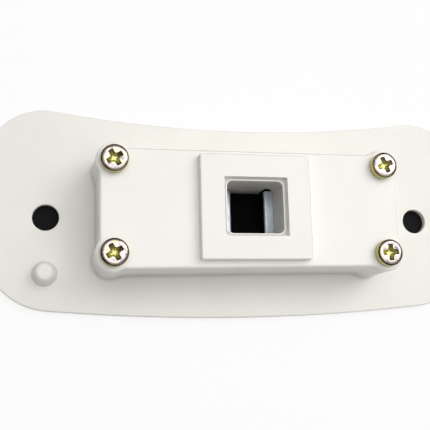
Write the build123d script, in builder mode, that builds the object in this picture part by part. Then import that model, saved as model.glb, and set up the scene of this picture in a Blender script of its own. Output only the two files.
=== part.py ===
"""Pull cord switch: a moulded plate and box with a screwed lid, a square key socket and two small snap switches.

The part lies on its back. The back of the plate is the plane Z = 0 and +Z points out of the socket.
The origin is on that back face, on the axis of the key socket. X runs along the two mounting holes.
"""
from build123d import *
import math
import os

os.makedirs("parts", exist_ok=True)

# ---- Mounting plate -------------------------------------------------------------------------------
plate_thickness = 2.0
plate_length = 138.0
plate_top_middle = 25.4  # height of the hollow top edge above the axis, at mid length
plate_top_radius = 343.0
plate_top_corner = 15.6
plate_bottom_middle = 27.5  # depth of the bowed bottom edge below the axis, at mid length
plate_bottom_radius = 562.0
plate_bottom_corner = 18.0
plate_edge_round = 0.45
mount_hole_spacing = 106.1
mount_hole_radius = 3.5
mount_hole_drop = 0.3  # the hole line lies this far below the socket axis
peg_radius = 3.15
peg_height = 4.6
peg_below_hole = 14.9
peg_dome = 1.6

# ---- Box ------------------------------------------------------------------------------------------
box_length = 79.4
box_width = 30.4
box_corner = 3.0  # the round bosses stand out past it
box_rise = 16.25  # from the front of the plate to the lid's face
box_wall = 2.0
box_draft = 1.0  # degrees
lid_thickness = 2.0
boss_inset_x = 3.65  # of each boss axis from the end wall's face
boss_inset_y = 3.38
boss_radius = 4.7
post_radius = 1.25
post_height = 2.6

# ---- Pad, recess and socket in the lid ------------------------------------------------------------
pad_length = 29.1
pad_width = 27.25
pad_height = 2.5
pad_edge_round = 0.3
recess_ledge_x = 0.9  # ledge between the recess and the throat
recess_ledge_y = 0.795
recess_depth = 1.35  # down to the rim of the throat
throat_rim = 0.35
groove_depth = 0.6  # round the rim, below its top
throat_length = 14.9
throat_width = 13.66
throat_corner = 1.5
throat_edge_round = 0.15
sleeve_wall = 1.5
sleeve_reach = 8.3  # from the lid's face to the end of the square sleeve
tongue_past_nose = 0.6  # the tongues reach this far past the clips' noses, each way
lip_wall = 1.0
lip_depth = 1.0
lip_gap = 0.15
pocket_wall = 2.1
lid_edge_round = 0.35

# ---- Screws ---------------------------------------------------------------------------------------
lid_screw_radius = 1.75
lid_screw_core = 1.3
lid_screw_head_radius = 3.5
lid_screw_head_height = 2.5
lid_screw_length = 13.0
lid_screw_pitch = 1.27
lid_screw_tip = 2.4
lid_screw_turns = (32.0, 30.0, 22.0, 3.0)  # how far round each screw stopped, in degrees
recess_arm = 4.1
recess_arm_width = 1.15
recess_drive_depth = 1.7
recess_taper = 8.0
switch_screw_radius = 1.0
switch_screw_head_radius = 1.9
switch_screw_head_height = 1.3
switch_screw_length = 8.0
running_gap = 0.05  # radial clearance of anything that turns, slides or drops into a hole
clear_gap = 0.2  # free space between neighbours that do not guide each other

# ---- Contact carrier, the black base inside the box -----------------------------------------------
carrier_end_gap = 7.7  # room for the wires between the carrier and the end walls
carrier_side_gap = 1.2
carrier_thickness = 1.8
carrier_post_inset = 3.0  # of each locating post from the carrier's end
carrier_rib = 1.1  # from the thinner floor under the socket to the middle of a clip's slot
carrier_well_thickness = 1.2
carrier_corner = 1.5

# ---- Key clips ------------------------------------------------------------------------------------
clip_thickness = 0.4
clip_side_gap = 0.53  # from the clip's edge to the throat's wall
clip_nose_reach = 2.8  # of the nose into the throat
clip_web_reach = 0.35  # of the upright web's middle into the throat
clip_shelf_under = 0.55  # how far the clip's shelf goes under the sleeve
clip_bend = 0.6
clip_knee_height = 3.4  # of the web above the carrier
clip_tab = 1.2  # length of the tab in its slot
clip_slot_depth = 1.4
clip_swing = 12.0  # degrees

# ---- Snap switches --------------------------------------------------------------------------------
switch_stand_off = 2.75  # of the button face from the throat's wall
switch_height = 9.2
switch_length = 19.8
switch_depth = 6.4
switch_wall = 1.0
switch_cover_thickness = 0.8
switch_hole_spacing = 9.5
switch_hole_back = 2.5  # from the terminal side
switch_hole_radius = 1.18
switch_post_wall = 0.8
lever_thickness = 0.3
lever_width = 2.6
lever_pin_radius = 0.45
lever_pin_length = 4.8
lever_eye_wall = 0.4
lever_pivot_y = -8.6
lever_pivot_stand = 1.0  # of the pivot in front of the button face
lever_tip_y = 4.5
lever_lug = 1.0
lever_touch = 0.1  # gap from the clip's back to the lever's tip at rest
button_radius = 1.0
button_y = -2.5
button_flange_radius = 1.4
button_flange = 0.4
blade_thickness = 0.25
blade_width = 3.0
blade_stand = 2.3  # of the blade behind the button face
blade_root_y = 7.4
blade_tip_y = -7.9
blade_gap = 0.15
contact_y = -7.3
contact_radius = 0.7
contact_height = 0.43
contact_throw = 0.5
terminal_thickness = 0.5
terminal_width = 3.2
terminal_reach = 6.4  # behind the switch
common_terminal_y = 7.85
closed_terminal_y = -8.4
terminal_hole_radius = 0.7

# ---- Cable grommet --------------------------------------------------------------------------------
grommet_wall_gap = 4.5  # of the grommet's axis from the end wall
grommet_bore = 2.2
grommet_neck = 3.0
grommet_flange = 4.0
grommet_flange_thickness = 0.8

# ---- Levels and places that follow from the sizes above --------------------------------------------
lid_face = plate_thickness + box_rise
lid_underside = lid_face - lid_thickness
pad_top = lid_face + pad_height
recess_floor = pad_top - recess_depth
sleeve_end = lid_face - sleeve_reach
carrier_top = plate_thickness + carrier_thickness
well_top = plate_thickness + carrier_well_thickness
box_inside_length = box_length - 2 * box_wall
box_inside_width = box_width - 2 * box_wall
boss_spacing_x = box_length - 2 * boss_inset_x
boss_spacing_y = box_width - 2 * boss_inset_y
grommet_x = grommet_wall_gap - box_inside_length / 2
carrier_length = box_inside_length - 2 * carrier_end_gap
carrier_width = box_inside_width - 2 * carrier_side_gap
post_x = carrier_length / 2 - carrier_post_inset
recess_length = throat_length + 2 * recess_ledge_x
recess_width = throat_width + 2 * recess_ledge_y
clip_nose = throat_length / 2 - clip_nose_reach
clip_web = throat_length / 2 - clip_web_reach
clip_shelf_end = throat_length / 2 + clip_shelf_under
clip_width = throat_width - 2 * clip_side_gap
carrier_well_length = 2 * (clip_web - carrier_rib)
tongue_length = 2 * (clip_nose + tongue_past_nose)
switch_face = throat_length / 2 + switch_stand_off
sleeve_length = throat_length + 2 * sleeve_wall
sleeve_width = throat_width + 2 * sleeve_wall
boss_spots = [
    (-boss_spacing_x / 2, boss_spacing_y / 2),
    (-boss_spacing_x / 2, -boss_spacing_y / 2),
    (boss_spacing_x / 2, boss_spacing_y / 2),
    (boss_spacing_x / 2, -boss_spacing_y / 2),
]
hole_spots = [(side * mount_hole_spacing / 2, -mount_hole_drop) for side in (-1, 1)]
switch_top = carrier_top + switch_depth
switch_middle = carrier_top + switch_depth / 2
switch_back = switch_face + switch_height
switch_hole_x = switch_back - switch_hole_back


def arc_height(radius, half_chord):
    """Rise of a shallow arc at a half chord, measured from its middle."""
    return radius - math.sqrt(radius**2 - half_chord**2)


# ---- Housing: plate, box, corner bosses and locating peg in one moulding ---------------------------
with BuildPart() as housing_body:
    with BuildSketch() as plate_outline:
        top_end = plate_top_middle + arc_height(plate_top_radius, plate_length / 2)
        bottom_end = -plate_bottom_middle + arc_height(plate_bottom_radius, plate_length / 2)
        with BuildLine():
            top_edge = ThreePointArc(
                (-plate_length / 2, top_end), (0, plate_top_middle), (plate_length / 2, top_end)
            )
            bottom_edge = ThreePointArc(
                (plate_length / 2, bottom_end), (0, -plate_bottom_middle), (-plate_length / 2, bottom_end)
            )
            Line(top_edge @ 1, bottom_edge @ 0)
            Line(bottom_edge @ 1, top_edge @ 0)
        make_face()
        fillet(plate_outline.vertices().group_by(Axis.Y)[-1], plate_top_corner)
        fillet(plate_outline.vertices().group_by(Axis.Y)[0], plate_bottom_corner)
    extrude(amount=plate_thickness)
    fillet(housing_body.faces().sort_by(Axis.Z)[-1].edges(), plate_edge_round)
    with BuildSketch(Plane.XY.offset(lid_underside)) as box_outline:
        RectangleRounded(box_length, box_width, box_corner)
        with Locations(*boss_spots):
            Circle(boss_radius)
    extrude(amount=-(lid_underside - plate_thickness), taper=-box_draft)
    with BuildSketch(Plane.XY.offset(plate_thickness)) as box_inside:
        Rectangle(box_inside_length, box_inside_width)
        with Locations(*boss_spots):
            Circle(boss_radius, mode=Mode.SUBTRACT)
    extrude(amount=lid_underside - plate_thickness, mode=Mode.SUBTRACT)
    with BuildSketch(Plane.XY.offset(lid_underside)) as pilot_holes:
        with Locations(*boss_spots):
            Circle(lid_screw_radius + running_gap)
    extrude(amount=-(lid_screw_length - lid_thickness + clear_gap), mode=Mode.SUBTRACT)
    with BuildSketch() as mount_holes:
        with Locations(*hole_spots):
            Circle(mount_hole_radius)
    extrude(amount=plate_thickness, mode=Mode.SUBTRACT)
    with BuildSketch() as grommet_hole:
        with Locations((grommet_x, 0)):
            Circle(grommet_neck)
    extrude(amount=plate_thickness, mode=Mode.SUBTRACT)
    with BuildSketch() as grommet_seat:
        with Locations((grommet_x, 0)):
            Circle(grommet_flange + running_gap)
    extrude(amount=grommet_flange_thickness, mode=Mode.SUBTRACT)
    with BuildSketch(Plane.XY.offset(plate_thickness)) as posts:
        with Locations((-post_x, 0), (post_x, 0)):
            Circle(post_radius)
    extrude(amount=post_height)
    with BuildSketch(Plane.XY.offset(plate_thickness)) as peg_foot:
        with Locations((hole_spots[0][0], hole_spots[0][1] - peg_below_hole)):
            Circle(peg_radius)
    extrude(amount=peg_height)
    fillet(housing_body.edges().filter_by(GeomType.CIRCLE).filter_by(
        lambda edge: abs(edge.center().Z - plate_thickness - peg_height) < 0.01
        and edge.center().X < -box_length / 2
    ), peg_dome)

housing_body.part.label = "housing_body"
export_step(housing_body.part, "parts/housing_body.step")

# ---- Lid: cover plate, raised pad with its recess, square sleeve and two guide tongues --------------
with BuildPart() as lid:
    with BuildSketch(Plane.XY.offset(lid_underside)) as lid_outline:
        RectangleRounded(box_length, box_width, box_corner)
        with Locations(*boss_spots):
            Circle(boss_radius)
    extrude(amount=lid_thickness)
    fillet(lid.faces().sort_by(Axis.Z)[-1].edges(), lid_edge_round)
    with BuildSketch(Plane.XY.offset(lid_face)) as pad:
        Rectangle(pad_length, pad_width)
    extrude(amount=pad_height)
    fillet(lid.faces().sort_by(Axis.Z)[-1].edges(), pad_edge_round)
    with BuildSketch(Plane.XY.offset(lid_underside)) as pad_hollow:
        Rectangle(pad_length - 2 * pocket_wall, pad_width - 2 * pocket_wall)
    extrude(amount=lid_thickness, mode=Mode.SUBTRACT)
    with BuildSketch(Plane.XY.offset(sleeve_end)) as sleeve:
        Rectangle(sleeve_length, sleeve_width)
    extrude(amount=lid_face - sleeve_end)
    with BuildSketch(Plane.XY.offset(well_top)) as tongues:
        with Locations((0, (throat_width + sleeve_wall) / 2), (0, -(throat_width + sleeve_wall) / 2)):
            Rectangle(tongue_length, sleeve_wall)
    extrude(amount=sleeve_end - well_top)
    with BuildSketch(Plane.XY.offset(lid_underside)) as lip:
        lip_length = box_inside_length - 2 * lip_gap
        lip_width = box_inside_width - 2 * lip_gap
        Rectangle(lip_length, lip_width)
        Rectangle(lip_length - 2 * lip_wall, lip_width - 2 * lip_wall, mode=Mode.SUBTRACT)
        with Locations(*boss_spots):
            Circle(boss_radius + clear_gap, mode=Mode.SUBTRACT)
    extrude(amount=-lip_depth)
    with BuildSketch(Plane.XY.offset(pad_top)) as key_recess:
        Rectangle(recess_length, recess_width)
    extrude(amount=-recess_depth, mode=Mode.SUBTRACT)
    with BuildSketch(Plane.XY.offset(recess_floor)) as rim_groove:
        Rectangle(recess_length, recess_width)
        RectangleRounded(
            throat_length + 2 * throat_rim,
            throat_width + 2 * throat_rim,
            throat_corner + throat_rim,
            mode=Mode.SUBTRACT,
        )
    extrude(amount=-groove_depth, mode=Mode.SUBTRACT)
    with BuildSketch(Plane.XY.offset(recess_floor)) as throat:
        RectangleRounded(throat_length, throat_width, throat_corner)
    extrude(amount=-(recess_floor - sleeve_end), mode=Mode.SUBTRACT)
    fillet(
        lid.faces().filter_by(Axis.Z).filter_by(
            lambda face: abs(face.center().Z - recess_floor) < 0.01
        )[0].inner_wires()[0].edges(),
        throat_edge_round,
    )
    with BuildSketch(Plane.XY.offset(lid_underside)) as screw_holes:
        with Locations(*boss_spots):
            Circle(lid_screw_radius + clear_gap)
    extrude(amount=lid_thickness, mode=Mode.SUBTRACT)

lid.part.label = "lid"
export_step(lid.part, "parts/lid.step")

# ---- Lid screws: pan head, cross recess, tapping thread --------------------------------------------
with BuildPart() as lid_screw:
    with BuildSketch(Plane.XZ) as screw_half:
        with BuildLine():
            thread_turns = int((lid_screw_length - lid_screw_tip) / lid_screw_pitch) - 1
            profile = [(0, lid_screw_head_height), (2.5, lid_screw_head_height)]
            profile += [(3.2, lid_screw_head_height - 0.35), (lid_screw_head_radius, 1.5)]
            profile += [(lid_screw_head_radius, 0.0), (lid_screw_core, 0.0)]
            for turn in range(thread_turns):
                root = -lid_screw_pitch * (turn + 1)
                profile += [(lid_screw_core, root + lid_screw_pitch / 4), (lid_screw_radius, root)]
                profile += [(lid_screw_core, root - lid_screw_pitch / 4)]
            profile += [(lid_screw_core, -(lid_screw_length - lid_screw_tip)), (0, -lid_screw_length)]
            Polyline(*profile, close=True)
        make_face()
    revolve(axis=Axis.Z)
    with BuildSketch(Plane.XY.offset(lid_screw_head_height)) as drive_cross:
        Rectangle(recess_arm, recess_arm_width)
        Rectangle(recess_arm_width, recess_arm)
    extrude(amount=-recess_drive_depth, taper=recess_taper, mode=Mode.SUBTRACT)

with BuildPart() as lid_screws:
    for spot, turn in zip(boss_spots, lid_screw_turns):
        add(lid_screw.part.moved(Location((*spot, lid_face), (0, 0, turn))))

lid_screws.part.label = "lid_screws"
export_step(lid_screws.part, "parts/lid_screws.step")

# ---- Contact carrier: black base on the box floor, held down by the lid's tongues -------------------
with BuildPart() as contact_carrier:
    with BuildSketch(Plane.XY.offset(plate_thickness)) as carrier_outline:
        RectangleRounded(carrier_length, carrier_width, carrier_corner)
        with Locations((-post_x, 0), (post_x, 0)):
            Circle(post_radius + running_gap, mode=Mode.SUBTRACT)
        with Locations((grommet_x, 0)):
            Circle(grommet_flange + clear_gap, mode=Mode.SUBTRACT)
    extrude(amount=carrier_thickness)
    with BuildSketch(Plane.XY.offset(carrier_top)) as well:
        Rectangle(carrier_well_length, carrier_width)
    extrude(amount=-(carrier_thickness - carrier_well_thickness), mode=Mode.SUBTRACT)
    with BuildSketch(Plane.XY.offset(carrier_top)) as clip_slots:
        with Locations((-clip_web, 0), (clip_web, 0)):
            Rectangle(clip_thickness + 2 * clear_gap, clip_width + 2 * clear_gap)
    extrude(amount=-clip_slot_depth, mode=Mode.SUBTRACT)
    with BuildSketch(Plane.XY.offset(carrier_top)) as switch_screw_holes:
        with Locations((-switch_hole_x, 0), (switch_hole_x, 0)):
            with GridLocations(0, switch_hole_spacing, 1, 2):
                Circle(switch_screw_radius + running_gap)
    extrude(amount=-carrier_thickness, mode=Mode.SUBTRACT)

contact_carrier.part.label = "contact_carrier"
export_step(contact_carrier.part, "parts/contact_carrier.step")

# ---- Cable grommet: rubber ring in the floor, flush with the back -----------------------------------
with BuildPart() as cable_grommet:
    with BuildSketch() as back_flange:
        with Locations((grommet_x, 0)):
            Circle(grommet_flange)
    extrude(amount=grommet_flange_thickness)
    with BuildSketch() as neck:
        with Locations((grommet_x, 0)):
            Circle(grommet_neck - running_gap)
    extrude(amount=plate_thickness + grommet_flange_thickness)
    with BuildSketch(Plane.XY.offset(plate_thickness)) as front_flange:
        with Locations((grommet_x, 0)):
            Circle(grommet_flange)
    extrude(amount=grommet_flange_thickness)
    with BuildSketch() as cable_bore:
        with Locations((grommet_x, 0)):
            Circle(grommet_bore)
    extrude(amount=plate_thickness + grommet_flange_thickness, mode=Mode.SUBTRACT)

cable_grommet.part.label = "cable_grommet"
export_step(cable_grommet.part, "parts/cable_grommet.step")

# ---- Right-hand mechanism; the left one is the same, turned half a turn about the socket axis --------
clip_top = sleeve_end - clear_gap - clip_thickness / 2
clip_knee = carrier_top + clip_knee_height
clip_drop = clip_top - clip_knee
clip_run = clip_web - (clip_nose + clip_thickness / 2 + clip_bend)
clip_turn = math.sqrt(clip_run**2 + clip_drop * (clip_drop - 2 * clip_bend)) - clip_run
clip_vertex = clip_web - clip_run - clip_bend * clip_drop / clip_turn  # puts the bend's outside on clip_nose

with BuildPart() as key_clip:
    with BuildSketch(Plane.XZ) as clip_section:
        with BuildLine():
            FilletPolyline(
                (clip_shelf_end, clip_top),
                (clip_vertex, clip_top),
                (clip_web, clip_knee),
                (clip_web, carrier_top - clip_tab),
                radius=clip_bend,
            )
        trace(line_width=clip_thickness)
    extrude(amount=clip_width / 2, both=True)

with BuildPart() as switch_case:
    with BuildSketch(Plane.XY.offset(carrier_top)) as case_outline:
        with Locations((switch_face + switch_height / 2, 0)):
            Rectangle(switch_height, switch_length)
    extrude(amount=switch_depth - switch_cover_thickness)
    with BuildSketch(Plane.XY.offset(carrier_top + switch_wall)) as case_inside:
        with Locations((switch_face + switch_height / 2, 0)):
            Rectangle(switch_height - 2 * switch_wall, switch_length - 2 * switch_wall)
        with Locations((switch_hole_x, 0)):
            with GridLocations(0, switch_hole_spacing, 1, 2):
                Circle(switch_hole_radius + switch_post_wall, mode=Mode.SUBTRACT)
    extrude(amount=switch_depth, mode=Mode.SUBTRACT)
    with BuildSketch(Plane.XY.offset(carrier_top)) as case_holes:
        with Locations((switch_hole_x, 0)):
            with GridLocations(0, switch_hole_spacing, 1, 2):
                Circle(switch_hole_radius)
    extrude(amount=switch_depth, mode=Mode.SUBTRACT)
    with BuildSketch(Plane.YZ.offset(switch_face)) as button_hole:
        with Locations((button_y, switch_middle)):
            Circle(button_radius + running_gap)
    extrude(amount=switch_wall, mode=Mode.SUBTRACT)
    with BuildSketch(Plane.YZ.offset(switch_back)) as terminal_slots:
        with Locations((common_terminal_y, switch_middle), (0, switch_middle), (closed_terminal_y, switch_middle)):
            Rectangle(terminal_thickness + 2 * running_gap, terminal_width + 2 * running_gap)
    extrude(amount=-switch_wall, mode=Mode.SUBTRACT)
    lever_pivot_x = switch_face - lever_pivot_stand
    lug_radius = lever_pin_radius + running_gap + lever_eye_wall
    for lug_side in (-1, 1):
        lug_level = switch_middle + lug_side * (lever_width / 2 + running_gap + lever_lug / 2) - lever_lug / 2
        with BuildSketch(Plane.XY.offset(lug_level)) as lug:
            with Locations((lever_pivot_x, lever_pivot_y)):
                Circle(lug_radius)
            with Locations(((lever_pivot_x + switch_face + switch_wall) / 2, lever_pivot_y)):
                Rectangle(switch_face + switch_wall - lever_pivot_x, 2 * lug_radius)
            with Locations((lever_pivot_x, lever_pivot_y)):
                Circle(lever_pin_radius + running_gap / 5, mode=Mode.SUBTRACT)
        extrude(amount=lever_lug)

with BuildPart() as switch_cover:
    with BuildSketch(Plane.XY.offset(switch_top - switch_cover_thickness)) as cover_outline:
        with Locations((switch_face + switch_height / 2, 0)):
            Rectangle(switch_height, switch_length)
        with Locations((switch_hole_x, 0)):
            with GridLocations(0, switch_hole_spacing, 1, 2):
                Circle(switch_hole_radius, mode=Mode.SUBTRACT)
    extrude(amount=switch_cover_thickness)

with BuildPart() as lever_pin:
    with BuildSketch(Plane.XY.offset(switch_middle - lever_pin_length / 2)) as pin_section:
        with Locations((lever_pivot_x, lever_pivot_y)):
            Circle(lever_pin_radius)
    extrude(amount=lever_pin_length)

lever_tip_x = clip_web + clip_thickness / 2 + lever_touch + lever_thickness / 2
lever_angle = math.atan2(lever_pivot_x - lever_tip_x, lever_tip_y - lever_pivot_y)

with BuildPart() as switch_lever:
    with BuildSketch(Plane.XY.offset(switch_middle - lever_width / 2)) as lever_section:
        with BuildLine():
            Line((lever_pivot_x, lever_pivot_y), (lever_tip_x, lever_tip_y))
        trace(line_width=lever_thickness)
        with Locations((lever_pivot_x, lever_pivot_y)):
            Circle(lug_radius)
            Circle(lever_pin_radius + running_gap, mode=Mode.SUBTRACT)
        with Locations((lever_tip_x, lever_tip_y)):
            Circle(lever_thickness / 2)
    extrude(amount=lever_width)

lever_at_button = lever_pivot_x - (button_y - lever_pivot_y) * math.tan(lever_angle)
button_tip = lever_at_button + lever_thickness / 2 / math.cos(lever_angle) + lever_touch + clear_gap
button_end = switch_face + blade_stand - blade_thickness / 2 - blade_gap

with BuildPart() as switch_button:
    with BuildSketch(Plane.YZ.offset(button_tip)) as button_section:
        with Locations((button_y, switch_middle)):
            Circle(button_radius)
    extrude(amount=button_end - button_tip)
    fillet(switch_button.edges().sort_by(Axis.X)[0], button_radius / 2)
    with BuildSketch(Plane.YZ.offset(switch_face + switch_wall + blade_gap)) as button_collar:
        with Locations((button_y, switch_middle)):
            Circle(button_flange_radius)
    extrude(amount=button_flange)

blade_x = switch_face + blade_stand

with BuildPart() as contact_blade:
    with BuildSketch(Plane.XY.offset(switch_middle - blade_width / 2)) as blade_section:
        with Locations((blade_x, (blade_root_y + blade_tip_y) / 2)):
            Rectangle(blade_thickness, blade_root_y - blade_tip_y)
    extrude(amount=blade_width)
    with BuildSketch(Plane.YZ.offset(blade_x - blade_thickness / 2 - contact_height)) as blade_contact:
        with Locations((contact_y, switch_middle)):
            Circle(contact_radius)
    extrude(amount=blade_thickness + 2 * contact_height)

terminal_end = switch_back + terminal_reach


def terminal_tail(y_place, inner_end):
    """Flat tab along X from inside the case to its free end, with a hole for the wire."""
    with BuildPart() as tail:
        with BuildSketch(Plane.XZ.offset(-y_place - terminal_thickness / 2)):
            with Locations(((inner_end + terminal_end) / 2, switch_middle)):
                Rectangle(terminal_end - inner_end, terminal_width)
            with Locations((terminal_end - terminal_width / 2, switch_middle)):
                Circle(terminal_hole_radius, mode=Mode.SUBTRACT)
        extrude(amount=terminal_thickness)
    return tail.part


fixed_contact_x = blade_x + blade_thickness / 2 + contact_height + contact_throw + blade_gap / 2
stop_contact_x = blade_x - blade_thickness / 2 - contact_height - blade_gap

with BuildPart() as common_terminal:
    add(terminal_tail(common_terminal_y, blade_x - blade_thickness))

with BuildPart() as open_terminal:
    add(terminal_tail(0, fixed_contact_x + contact_height))
    with BuildSketch(Plane.XY.offset(switch_middle - terminal_width / 2)) as open_arm:
        arm_x = fixed_contact_x + contact_height + terminal_thickness / 2
        with Locations((arm_x, blade_tip_y / 2)):
            Rectangle(terminal_thickness, -blade_tip_y)
    extrude(amount=terminal_width)
    with BuildSketch(Plane.YZ.offset(fixed_contact_x)) as open_contact:
        with Locations((contact_y, switch_middle)):
            Circle(contact_radius)
    extrude(amount=contact_height)

with BuildPart() as closed_terminal:
    add(terminal_tail(closed_terminal_y, stop_contact_x - terminal_thickness))
    with BuildSketch(Plane.XY.offset(switch_middle - terminal_width / 2)) as closed_foot:
        foot_width = contact_y + contact_radius - closed_terminal_y
        with Locations((stop_contact_x - terminal_thickness / 2, closed_terminal_y + foot_width / 2)):
            Rectangle(terminal_thickness, foot_width)
    extrude(amount=terminal_width)

mechanism = {
    "key_clip": key_clip,
    "switch_case": switch_case,
    "switch_cover": switch_cover,
    "lever_pin": lever_pin,
    "switch_lever": switch_lever,
    "switch_button": switch_button,
    "contact_blade": contact_blade,
    "common_terminal": common_terminal,
    "open_terminal": open_terminal,
    "closed_terminal": closed_terminal,
}
for side, half_turn in {"right": 0, "left": 180}.items():
    for piece_name, piece in mechanism.items():
        with BuildPart() as placed:
            add(piece.part.rotate(Axis.Z, half_turn))
        placed.part.label = f"{side}_{piece_name}"
        export_step(placed.part, f"parts/{side}_{piece_name}.step")

# ---- Switch screws: four small machine screws through the switches into the carrier ------------------
with BuildPart() as switch_screws:
    for half_turn in (0, 180):
        for row in (-1, 1):
            with BuildSketch(Plane.XY.offset(switch_top)) as screw_head:
                with Locations(Location((0, 0), half_turn)):
                    with Locations((switch_hole_x, row * switch_hole_spacing / 2)):
                        Circle(switch_screw_head_radius)
            extrude(amount=switch_screw_head_height)
            with BuildSketch(Plane.XY.offset(switch_top)) as screw_shank:
                with Locations(Location((0, 0), half_turn)):
                    with Locations((switch_hole_x, row * switch_hole_spacing / 2)):
                        Circle(switch_screw_radius)
            extrude(amount=-switch_screw_length)

switch_screws.part.label = "switch_screws"
export_step(switch_screws.part, "parts/switch_screws.step")

# ---- Travels that the joints take from the sizes above -----------------------------------------------
clip_pivot_height = carrier_top - clip_tab / 2
knee_reach = clip_knee - clip_pivot_height
knee_shift = knee_reach * math.sin(math.radians(clip_swing))
lever_swing = (knee_shift + clear_gap / 5) / (lever_tip_y - lever_pivot_y)
button_travel = lever_swing * (button_y - lever_pivot_y)
blade_swing = contact_throw / (blade_root_y - contact_y)
print("clip pivot height", round(clip_pivot_height, 3), "swing deg", clip_swing)
print("lever pivot", round(lever_pivot_x, 3), lever_pivot_y, "swing rad", round(lever_swing, 5))
print("button travel", round(button_travel, 4), "tip", round(button_tip, 3), "end", round(button_end, 3))
print("blade pivot", round(blade_x, 3), blade_root_y, "swing rad", round(blade_swing, 5))
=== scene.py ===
# %% [markdown]
# # A pull cord switch, dressed for a portrait
#
# The imported model already holds every part of the switch at its real size: a white moulded housing on a
# saddle shaped plate, a lid with a square key socket, four yellow plated screws and the two snap switches
# inside. This lesson loads that model as a fixed frame and gives it its looks. The parts that show are made
# again as finer surfaces, worked out with numpy, and every other part keeps its shape and gets a material
# of its own.

# %% Load the frame
import math

import bpy
import numpy as np
from mathutils import Matrix, Vector


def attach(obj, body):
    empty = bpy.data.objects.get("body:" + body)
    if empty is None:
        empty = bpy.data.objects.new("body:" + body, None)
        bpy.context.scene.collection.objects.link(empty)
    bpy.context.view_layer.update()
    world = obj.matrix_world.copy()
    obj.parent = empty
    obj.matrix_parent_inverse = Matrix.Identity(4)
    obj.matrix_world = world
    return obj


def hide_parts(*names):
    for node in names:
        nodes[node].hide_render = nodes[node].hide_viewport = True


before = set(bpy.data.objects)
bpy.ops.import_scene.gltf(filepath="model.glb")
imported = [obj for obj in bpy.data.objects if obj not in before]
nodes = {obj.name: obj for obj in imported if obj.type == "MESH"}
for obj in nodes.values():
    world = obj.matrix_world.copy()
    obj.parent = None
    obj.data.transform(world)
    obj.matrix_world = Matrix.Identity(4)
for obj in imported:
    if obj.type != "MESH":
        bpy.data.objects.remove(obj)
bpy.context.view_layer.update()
MM = 0.001

# %% [markdown]
# ## The camera
#
# A small product like this one is portrayed by hand from close by, so the parallel edges of the box lean
# together a little. A camera that is only turned the right way but stands too far off would miss that. So
# the camera gets a place as well as a direction: a little to the left of the switch, a little below it, and
# about 19 cm above it.

# %% Camera
camera_place = Vector((-47.83, -33.81, 193.04)) * MM
camera_swing = math.radians(-12.044)  # about the upright axis of the frame, seen from above
camera_tilt = math.radians(10.084)  # towards the top edge
camera_roll = math.radians(-1.438)

camera_data = bpy.data.cameras.new("portrait_camera")
camera_data.sensor_width = 36.0
camera_data.lens = 59.57
camera_data.clip_start = 0.01
camera = bpy.data.objects.new("portrait_camera", camera_data)
camera.matrix_world = (
    Matrix.Translation(camera_place)
    @ Matrix.Rotation(camera_swing, 4, "Y")
    @ Matrix.Rotation(camera_tilt, 4, "X")
    @ Matrix.Rotation(camera_roll, 4, "Z")
)
bpy.context.scene.collection.objects.link(camera)
bpy.context.scene.camera = camera
print("camera looks along", [round(c, 3) for c in camera.matrix_world.to_3x3() @ Vector((0, 0, -1))])

# %% [markdown]
# ## Small helpers for materials
#
# Every finish here is one Principled shader with a few noise nodes in front of it. Writing the same six
# lines for each would hide what is different about them, so the helpers take care of what they share: an
# empty material, a noise that reads the object's own coordinates, and a colour written the way a screen
# shows it.

# %% Material helpers
scene = bpy.context.scene
scene.view_settings.view_transform = "Standard"


def linear(red, green, blue):
    """A colour named by its screen values from 0 to 255, as the linear colour that a shader takes."""
    values = np.array([red, green, blue]) / 255
    below = values / 12.92
    above = ((values + 0.055) / 1.055) ** 2.4
    return (*np.where(values <= 0.04045, below, above).tolist(), 1.0)


def new_material(name):
    """An empty node material with a Principled shader on its output."""
    material = bpy.data.materials.new(name)
    material.use_nodes = True
    tree = material.node_tree
    tree.nodes.clear()
    output = tree.nodes.new("ShaderNodeOutputMaterial")
    shader = tree.nodes.new("ShaderNodeBsdfPrincipled")
    tree.links.new(shader.outputs[0], output.inputs[0])
    return material, tree, shader


def noise(tree, size_mm, detail=3.0, stretch=(1, 1, 1), roughness=0.5):
    """A noise whose blobs are about size_mm wide on the object, longer along an axis with a small
    stretch."""
    place = tree.nodes.new("ShaderNodeTexCoord")
    mapping = tree.nodes.new("ShaderNodeMapping")
    mapping.inputs["Scale"].default_value = stretch
    texture = tree.nodes.new("ShaderNodeTexNoise")
    texture.inputs["Scale"].default_value = 1 / (size_mm * MM)
    texture.inputs["Detail"].default_value = detail
    texture.inputs["Roughness"].default_value = roughness
    tree.links.new(place.outputs["Object"], mapping.inputs["Vector"])
    tree.links.new(mapping.outputs[0], texture.inputs["Vector"])
    return texture.outputs["Fac"]


def spread(tree, source, low, high, from_low=0.3, from_high=0.7):
    """A value carried from the range from_low to from_high into the range low to high, and held at its
    ends."""
    node = tree.nodes.new("ShaderNodeMapRange")
    node.inputs["From Min"].default_value = from_low
    node.inputs["From Max"].default_value = from_high
    node.inputs["To Min"].default_value = low
    node.inputs["To Max"].default_value = high
    tree.links.new(source, node.inputs["Value"])
    return node.outputs[0]


def ramp(tree, source, stops):
    """Colours laid along a noise value, as (value, colour) stops."""
    node = tree.nodes.new("ShaderNodeValToRGB")
    elements = node.color_ramp.elements
    while len(elements) < len(stops):
        elements.new(0.5)
    for element, (value, colour) in zip(elements, stops):
        element.position = value
        element.color = colour
    tree.links.new(source, node.inputs["Fac"])
    return node.outputs["Color"]


def principled(material):
    """The Principled shader of a finish."""
    return next(node for node in material.node_tree.nodes if node.type == "BSDF_PRINCIPLED")


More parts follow.
